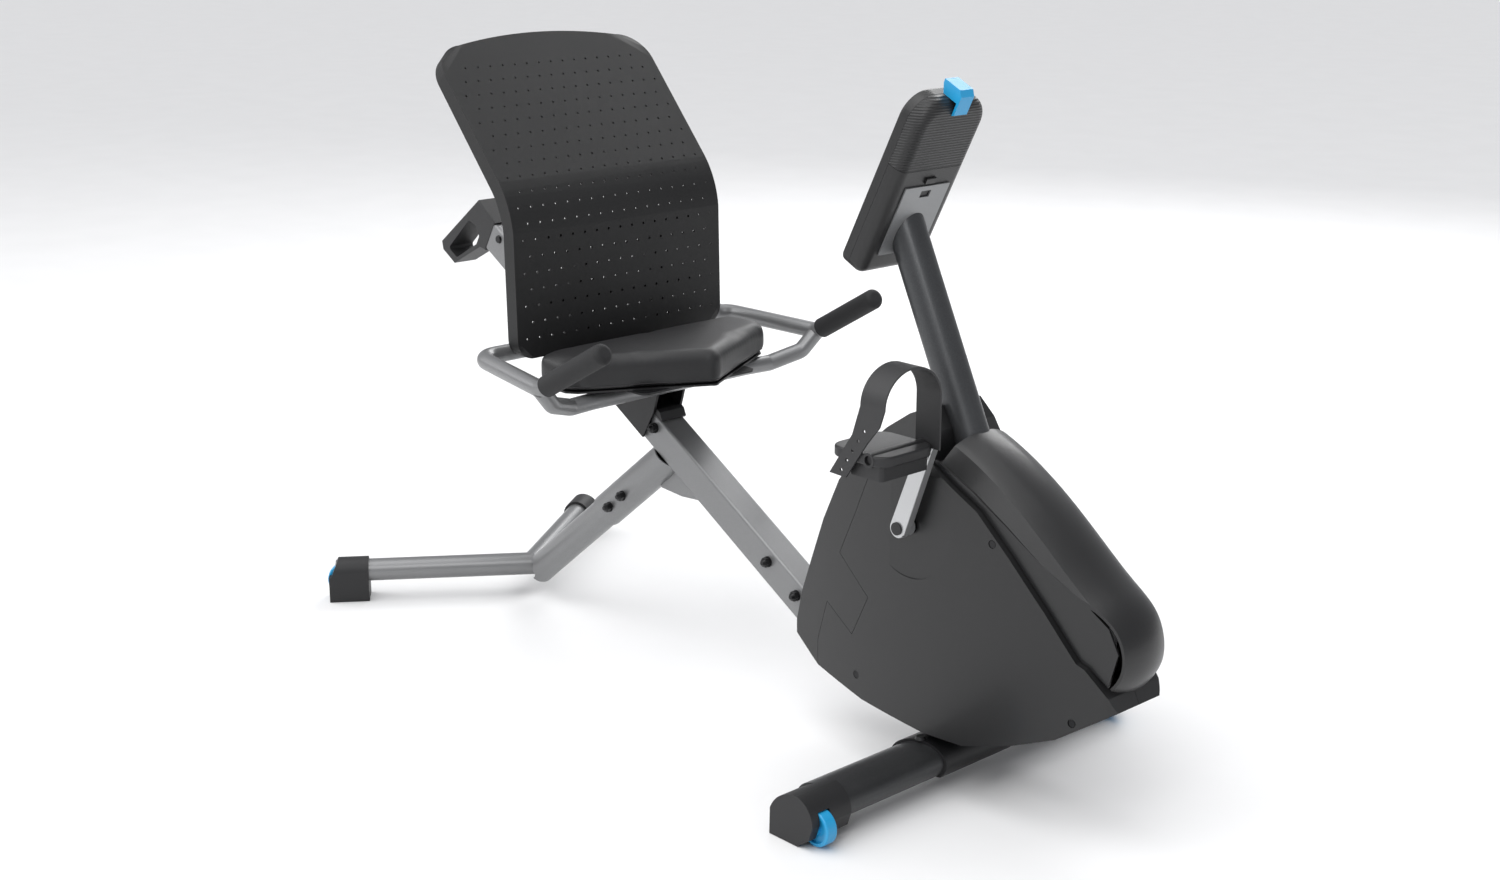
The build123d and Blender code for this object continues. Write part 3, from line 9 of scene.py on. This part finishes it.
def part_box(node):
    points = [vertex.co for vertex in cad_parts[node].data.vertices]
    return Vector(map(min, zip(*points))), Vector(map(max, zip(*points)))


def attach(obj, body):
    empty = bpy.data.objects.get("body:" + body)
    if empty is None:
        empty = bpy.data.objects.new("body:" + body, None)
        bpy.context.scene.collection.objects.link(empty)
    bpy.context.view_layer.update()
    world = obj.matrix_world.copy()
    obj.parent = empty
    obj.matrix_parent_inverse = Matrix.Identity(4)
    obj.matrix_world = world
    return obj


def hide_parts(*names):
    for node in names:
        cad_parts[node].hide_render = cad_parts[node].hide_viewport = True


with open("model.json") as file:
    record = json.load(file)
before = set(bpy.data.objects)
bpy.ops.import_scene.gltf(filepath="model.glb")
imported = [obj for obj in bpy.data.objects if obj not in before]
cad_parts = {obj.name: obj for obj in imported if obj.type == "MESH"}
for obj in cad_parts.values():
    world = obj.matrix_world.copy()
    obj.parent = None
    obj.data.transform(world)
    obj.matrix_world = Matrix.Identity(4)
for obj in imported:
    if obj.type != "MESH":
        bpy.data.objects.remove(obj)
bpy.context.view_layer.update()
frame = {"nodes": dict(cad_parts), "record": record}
nodes = frame["nodes"]


# ---------------------------------------------------------------- materials
def surface(
    name, colour, rough, metal=0.0, grain=600.0, bump=0.15, vary=0.12, coat=0.0, flake=0.0, rib=0.0
):
    """A node-built finish: colour mottling, roughness mottling and a fine grain in the bump."""
    mat = bpy.data.materials.new(name)
    mat.use_nodes = True
    tree = mat.node_tree
    tree.nodes.clear()
    out = tree.nodes.new("ShaderNodeOutputMaterial")
    shader = tree.nodes.new("ShaderNodeBsdfPrincipled")
    tree.links.new(shader.outputs["BSDF"], out.inputs["Surface"])
    shader.inputs["Metallic"].default_value = metal
    shader.inputs["Coat Weight"].default_value = coat
    shader.inputs["Coat Roughness"].default_value = 0.15
    place = tree.nodes.new("ShaderNodeTexCoord")

    def noise(scale, detail):
        node = tree.nodes.new("ShaderNodeTexNoise")
        node.inputs["Scale"].default_value = scale
        node.inputs["Detail"].default_value = detail
        tree.links.new(place.outputs["Object"], node.inputs["Vector"])
        return node

    def ramp(source, low, high, first, last):
        node = tree.nodes.new("ShaderNodeValToRGB")
        node.color_ramp.elements[0].position = low
        node.color_ramp.elements[1].position = high
        node.color_ramp.elements[0].color = (*first, 1)
        node.color_ramp.elements[1].color = (*last, 1)
        tree.links.new(source, node.inputs["Fac"])
        return node

    broad = noise(6.0, 3.0)
    dark = [c * (1 - vary) for c in colour]
    light = [min(1.0, c * (1 + vary)) for c in colour]
    tint = ramp(broad.outputs["Fac"], 0.3, 0.7, dark, light)
    colour_out = tint.outputs["Color"]
    fine = noise(grain, 2.0)
    if flake:
        # metallic paint: small bright flakes over the base
        spark = noise(2600.0, 1.0)
        mask = ramp(spark.outputs["Fac"], 0.52, 0.66, (0, 0, 0), (flake, flake, flake))
        mix = tree.nodes.new("ShaderNodeMix")
        mix.data_type = "RGBA"
        mix.blend_type = "ADD"
        mix.inputs["Factor"].default_value = 1.0
        tree.links.new(colour_out, mix.inputs["A"])
        tree.links.new(mask.outputs["Color"], mix.inputs["B"])
        colour_out = mix.outputs["Result"]
    tree.links.new(colour_out, shader.inputs["Base Color"])
    level = tree.nodes.new("ShaderNodeMapRange")
    level.inputs["To Min"].default_value = max(0.02, rough - 0.08)
    level.inputs["To Max"].default_value = min(1.0, rough + 0.08)
    tree.links.new(broad.outputs["Fac"], level.inputs["Value"])
    tree.links.new(level.outputs["Result"], shader.inputs["Roughness"])
    relief = tree.nodes.new("ShaderNodeBump")
    relief.inputs["Strength"].default_value = bump
    relief.inputs["Distance"].default_value = 0.0004
    tree.links.new(fine.outputs["Fac"], relief.inputs["Height"])
    normal = relief.outputs["Normal"]
    if rib:
        wave = tree.nodes.new("ShaderNodeTexWave")
        wave.wave_type = "BANDS"
        wave.bands_direction = "Z"
        wave.inputs["Scale"].default_value = rib
        tree.links.new(place.outputs["Object"], wave.inputs["Vector"])
        ribs = tree.nodes.new("ShaderNodeBump")
        ribs.inputs["Strength"].default_value = 0.6
        ribs.inputs["Distance"].default_value = 0.0012
        tree.links.new(wave.outputs["Fac"], ribs.inputs["Height"])
        tree.links.new(normal, ribs.inputs["Normal"])
        normal = ribs.outputs["Normal"]
    tree.links.new(normal, shader.inputs["Normal"])
    return mat


FINISHES = {
    "frame_silver": surface("silver_paint", (0.21, 0.212, 0.215), 0.40, 0.60, 900, 0.10, 0.05, 0.25, 0.07),
    "mast_grey": surface("gunmetal_paint", (0.050, 0.052, 0.055), 0.38, 0.6, 900, 0.10, 0.08, 0.25, 0.05),
    "stabilizer_grey": surface("dark_grey_paint", (0.038, 0.039, 0.041), 0.40, 0.55, 900, 0.10, 0.08, 0.2, 0.04),
    "cap_black": surface("moulded_black", (0.012, 0.012, 0.013), 0.52, 0, 1400, 0.35),
    "handle_grey": surface("moulded_grey", (0.020, 0.020, 0.021), 0.55, 0, 1400, 0.35),
    "wheel_blue": surface("moulded_blue", (0.015, 0.32, 0.62), 0.35, 0, 1200, 0.12, 0.06, 0.2),
    "housing_charcoal": surface("housing_plastic", (0.0085, 0.0085, 0.0090), 0.40, 0, 1500, 0.30, 0.10, 0.12),
    "cover_charcoal": surface("cover_plastic", (0.0105, 0.0105, 0.0110), 0.36, 0, 1500, 0.25, 0.10, 0.15),
    "console_black": surface("console_plastic", (0.0085, 0.0085, 0.0090), 0.42, 0, 1500, 0.30, 0.10, 0.1),
    "key_grey": surface("key_rubber", (0.07, 0.072, 0.075), 0.55, 0, 1500, 0.3),
    "lens_glass": surface("display_window", (0.010, 0.012, 0.014), 0.08, 0, 1500, 0.0, 0.1, 0.8),
    "bracket_grey": surface("bracket_paint", (0.24, 0.245, 0.25), 0.40, 0.5, 900, 0.12, 0.05, 0.1, 0.05),
    "inner_black": surface("black_paint", (0.010, 0.010, 0.011), 0.42, 0.2, 900, 0.2),
    "bolt_steel": surface("black_screws", (0.020, 0.020, 0.021), 0.32, 0.6, 1200, 0.12, 0.08),
    "crank_silver": surface("cast_aluminium", (0.56, 0.565, 0.57), 0.34, 0.75, 1200, 0.15, 0.05, 0.1),
    "pedal_black": surface("pedal_plastic", (0.014, 0.014, 0.015), 0.48, 0, 1200, 0.4),
    "strap_rubber": surface("strap_plastic", (0.022, 0.022, 0.023), 0.50, 0, 1000, 0.35),
    "belt_rubber": surface("belt", (0.015, 0.015, 0.015), 0.7, 0, 1000, 0.4),
    "flywheel_iron": surface("turned_iron", (0.18, 0.18, 0.185), 0.35, 0.9, 1000, 0.2),
    "cushion_vinyl": surface("cushion_cover", (0.0155, 0.0155, 0.0165), 0.50, 0, 420, 0.55, 0.10),
    "back_plastic": surface("back_shell", (0.0048, 0.0048, 0.0050), 0.52, 0, 1400, 0.35, 0.12),
    "grip_rubber": surface("grip_foam", (0.013, 0.013, 0.014), 0.72, 0, 700, 0.8),
}
slot_of = {row["node"]: row["material_slot"] for row in frame["record"]["subparts"]}
for name, node in nodes.items():
    node.data.materials.clear()
    node.data.materials.append(FINISHES[slot_of[name]])
ribbed = surface("console_ribbed", (0.0085, 0.0085, 0.0090), 0.45, 0, 1500, 0.2, 0.1, 0.1, 0.0, 90.0)
nodes["console_back_upper"].data.materials[0] = ribbed


def copy_of(node_name, name):
    """A working copy of a CAD node's mesh, welded into one closed surface."""
    data = nodes[node_name].data.copy()
    data.materials.clear()
    build = bmesh.new()
    build.from_mesh(data)
    bmesh.ops.remove_doubles(build, verts=build.verts, dist=0.00002)
    build.to_mesh(data)
    build.free()
    work = bpy.data.objects.new(name, data)
    bpy.context.scene.collection.objects.link(work)
    return work


def apply_modifiers(work):
    graph = bpy.context.evaluated_depsgraph_get()
    done = bpy.data.meshes.new_from_object(work.evaluated_get(graph))
    work.modifiers.clear()
    work.data = done


# ---------------------------------------------------------------- seat cushion
START_SCALE = (0.985, 0.99, 0.90)
VOXEL = 0.005
PRESSURE = 4.0
CLOTH_FRAMES = 20
PUFF = 0.006
BOARD_GAP = 0.0004
CROWN = 0.003
CROWN_FROM = 0.7

low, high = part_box("seat_cushion")
cushion = copy_of("seat_cushion", "cushion")
middle = (low + high) / 2
# start a little small, because the pad swells
for vertex in cushion.data.vertices:
    offset = vertex.co - middle
    vertex.co = middle + Vector([o * k for o, k in zip(offset, START_SCALE)])
mod = cushion.modifiers.new("remesh", "REMESH")
mod.mode = "VOXEL"
mod.voxel_size = VOXEL
apply_modifiers(cushion)
start = [v.co.copy() for v in cushion.data.vertices]
cloth = cushion.modifiers.new("cloth", "CLOTH")
cloth.settings.use_pressure = True
cloth.settings.uniform_pressure_force = PRESSURE
cloth.settings.effector_weights.gravity = 0.0
for step in range(1, CLOTH_FRAMES + 1):
    bpy.context.scene.frame_set(step)
apply_modifiers(cushion)
bpy.context.scene.frame_set(1)
# no point moves further than the padding would give
for vertex, rest in zip(cushion.data.vertices, start):
    move = vertex.co - rest
    if move.length > PUFF:
        move = move * (PUFF / move.length)
    vertex.co = rest + move
# the underside stays flat on its board, and the top has a shallow crown
for vertex in cushion.data.vertices:
    vertex.co.z = max(vertex.co.z, low.z + BOARD_GAP)
    height = (vertex.co.z - low.z) / (high.z - low.z)
    if height > CROWN_FROM:
        across = abs(vertex.co.y) / high.y
        rise = min(1.0, (height - CROWN_FROM) / 0.3)
        vertex.co.z += CROWN * (1 - across * across) * rise
smooth = cushion.modifiers.new("smooth", "SMOOTH")
smooth.factor = 0.5
smooth.iterations = 4
sub = cushion.modifiers.new("subdivision", "SUBSURF")
sub.levels = 1
sub.render_levels = 1
apply_modifiers(cushion)
for face in cushion.data.polygons:
    face.use_smooth = True
cushion.data.materials.clear()
cushion.data.materials.append(FINISHES["cushion_vinyl"])
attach(cushion, "seat")
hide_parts("seat_cushion")


def cord_loop(name, points, radius):
    """A thin round cord along a closed run of points, as a mesh."""
    curve = bpy.data.curves.new(name, "CURVE")
    curve.dimensions = "3D"
    curve.bevel_depth = radius
    curve.bevel_resolution = 2
    spline = curve.splines.new("POLY")
    spline.points.add(len(points) - 1)
    for point, place in zip(spline.points, points):
        point.co = (*place, 1)
    spline.use_cyclic_u = True
    holder = bpy.data.objects.new(name + "_curve", curve)
    bpy.context.scene.collection.objects.link(holder)
    graph = bpy.context.evaluated_depsgraph_get()
    mesh_data = bpy.data.meshes.new_from_object(holder.evaluated_get(graph))
    bpy.data.objects.remove(holder)
    for face in mesh_data.polygons:
        face.use_smooth = True
    return mesh_data


def silhouette(obj, level, inset):
    """The cushion's outline at one height, found by rays shot inward from outside."""
    corners = [v.co for v in obj.data.vertices]
    tree = BVHTree.FromPolygons(corners, [f.vertices for f in obj.data.polygons])
    centre = Vector((middle.x - 0.01, 0, level))
    ring = []
    for step in range(WELT_POINTS):
        angle = 2 * pi * step / WELT_POINTS
        ray = Vector((cos(angle), sin(angle), 0))
        place = tree.ray_cast(centre + ray * OUTSIDE, -ray)[0]
        if place is not None:
            ring.append(place - ray * inset)
    return ring


# welt round the cushion's foot, where its cover is pulled over the board
WELT_POINTS = 160
WELT_HEIGHT = 0.007
WELT_SINK = 0.0003
WELT_RADIUS = 0.0011
OUTSIDE = 0.5
ring = silhouette(cushion, low.z + WELT_HEIGHT, WELT_SINK)
welt = bpy.data.objects.new("cushion_welt", cord_loop("welt", ring, WELT_RADIUS))
bpy.context.scene.collection.objects.link(welt)
welt.data.materials.append(FINISHES["cushion_vinyl"])
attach(welt, "seat")

# ---------------------------------------------------------------- backrest with its punched holes
# the front face seen from the side, as (x, z): a straight, a bend and a second straight
FOOT = (-0.2585, 0.474)
BEND_START = (-0.263, 0.660)
BEND_PULL = (-0.2655, 0.700)
BEND_END = (-0.294, 0.733)
UPPER_DIRECTION = (-0.657, 0.753)
UPPER_LENGTH = 0.255
WALL = 0.004
SHARP_ANGLE = 32
# the pattern of holes
HOLE = 0.0021
HOLE_SIDES = 8
CUTTER_DEPTH = 0.010
PITCH_Y = 0.0225
PITCH_S = 0.0242
FIRST_ROW = 0.030
END_MARGINS = 0.060
HALF_PATTERN = 0.180
CORNER_Y = 0.120
CORNER_S = 0.072
CORNER_RADIUS = 0.062


def back_profile(count):
    """Points up the backrest's front face, with count of them on the upper straight."""
    points = []
    for k in range(21):
        t = k / 20
        points.append([a + (b - a) * t for a, b in zip(FOOT, BEND_START)])
    # the bend is a quadratic between the two straights
    for k in range(1, 13):
        t = k / 12
        weights = ((1 - t) ** 2, 2 * t * (1 - t), t * t)
        handles = (BEND_START, BEND_PULL, BEND_END)
        points.append([sum(w * h[axis] for w, h in zip(weights, handles)) for axis in (0, 1)])
    for k in range(1, count + 1):
        reach = UPPER_LENGTH * k / count
        points.append([a + d * reach for a, d in zip(BEND_END, UPPER_DIRECTION)])
    return points


profile = back_profile(26)
# distance travelled up the face at each point
travel = [0.0]
for a, b in zip(profile, profile[1:]):
    travel.append(travel[-1] + sqrt((b[0] - a[0]) ** 2 + (b[1] - a[1]) ** 2))
total = travel[-1]


def on_back(distance):
    """The front face's point and rearward normal at a distance up the profile."""
    distance = min(max(distance, 0.0), total)
    k = 0
    while k < len(travel) - 2 and travel[k + 1] < distance:
        k += 1
    t = (distance - travel[k]) / (travel[k + 1] - travel[k])
    x = profile[k][0] + (profile[k + 1][0] - profile[k][0]) * t
    z = profile[k][1] + (profile[k + 1][1] - profile[k][1]) * t
    before = profile[max(0, k - 1)]
    after = profile[min(len(profile) - 1, k + 2)]
    run = Vector((after[0] - before[0], 0, after[1] - before[1])).normalized()
    return Vector((x, 0, z)), Vector((-run.z, 0, run.x))


# holes: cutters sunk through the shell, alternate rows half a pitch across
cutters = bmesh.new()
for row in range(int((total - END_MARGINS) / PITCH_S)):
    climbed = FIRST_ROW + PITCH_S * row
    point, normal = on_back(climbed)
    turn = normal.to_track_quat("Z", "Y").to_matrix().to_4x4()
    shift = 0.5 if row % 2 else 0.0
    for column in range(-9, 10):
        y = (column + shift) * PITCH_Y
        past_y = max(0.0, abs(y) - CORNER_Y)
        past_s = max(0.0, CORNER_S - (total - climbed))
        # no holes beyond the sides or in the rounded upper corners
        if abs(y) > HALF_PATTERN or sqrt(past_y**2 + past_s**2) > CORNER_RADIUS:
            continue
        centre = point + Vector((0, y, 0)) + normal * (WALL / 2)
        bmesh.ops.create_cone(
            cutters,
            cap_ends=True,
            segments=HOLE_SIDES,
            radius1=HOLE,
            radius2=HOLE,
            depth=CUTTER_DEPTH,
            matrix=Matrix.Translation(centre) @ turn,
        )
cutter_mesh = bpy.data.meshes.new("hole_cutters")
cutters.to_mesh(cutter_mesh)
cutters.free()
cutter = bpy.data.objects.new("hole_cutters", cutter_mesh)
bpy.context.scene.collection.objects.link(cutter)
shell = copy_of("backrest", "back_shell")
cut = shell.modifiers.new("holes", "BOOLEAN")
cut.operation = "DIFFERENCE"
cut.solver = "EXACT"
cut.object = cutter
apply_modifiers(shell)
bpy.data.objects.remove(cutter)
shell.data.materials.clear()
shell.data.materials.append(FINISHES["back_plastic"])
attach(shell, "seat")
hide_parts("backrest")

shell.data.set_sharp_from_angle(angle=radians(SHARP_ANGLE))

# ---------------------------------------------------------------- floor, light, camera
bpy.ops.mesh.primitive_plane_add(size=90, location=(0, 0, -0.0006))
floor = bpy.context.object
floor.name = "floor"
floor.data.materials.append(surface("floor_white", (0.86, 0.86, 0.86), 0.75, 0, 200, 0.02, 0.01))


def lamp(name, place, target, size, power):
    data = bpy.data.lights.new(name, "AREA")
    data.size = size
    data.energy = power
    light = bpy.data.objects.new(name, data)
    light.location = place
    light.rotation_euler = (Vector(target) - Vector(place)).to_track_quat("-Z", "Y").to_euler()
    bpy.context.scene.collection.objects.link(light)


# name, place, aim, size in metres, power in watts
lamp("key", (2.4, -3.2, 3.4), (0, 0, 0.4), 2.2, 60)
lamp("fill", (-3.2, -2.4, 2.2), (0, 0, 0.5), 2.4, 30)
lamp("back", (-1.5, 3.2, 2.8), (0, 0, 0.6), 2.4, 75)
lamp("top", (0.2, 0.0, 4.2), (0, 0, 0), 3.4, 35)
# one soft sun keeps the far floor as pale as the near floor
sun_data = bpy.data.lights.new("sun", "SUN")
sun_data.energy = 1.7
sun_data.angle = radians(70)
sun = bpy.data.objects.new("sun", sun_data)
sun.rotation_euler = (radians(28), radians(-18), 0)
bpy.context.scene.collection.objects.link(sun)
world = bpy.data.worlds.new("studio")
world.use_nodes = True
world.node_tree.nodes["Background"].inputs["Color"].default_value = (0.95, 0.96, 1.0, 1)
world.node_tree.nodes["Background"].inputs["Strength"].default_value = 0.42
bpy.context.scene.world = world
bpy.context.scene.view_settings.view_transform = "Standard"

AZIMUTH = radians(47.288)
PITCH = radians(16.089)
LENS = 48.35
EYE = (2.0734, -1.8915, 1.180)
camera_data = bpy.data.cameras.new("camera")
camera_data.lens = LENS
camera_data.sensor_width = 36.0
camera = bpy.data.objects.new("camera", camera_data)
camera.location = EYE
look = Vector((-sin(AZIMUTH) * cos(PITCH), cos(AZIMUTH) * cos(PITCH), -sin(PITCH)))
camera.rotation_euler = look.to_track_quat("-Z", "Y").to_euler()
bpy.context.scene.collection.objects.link(camera)
bpy.context.scene.camera = camera
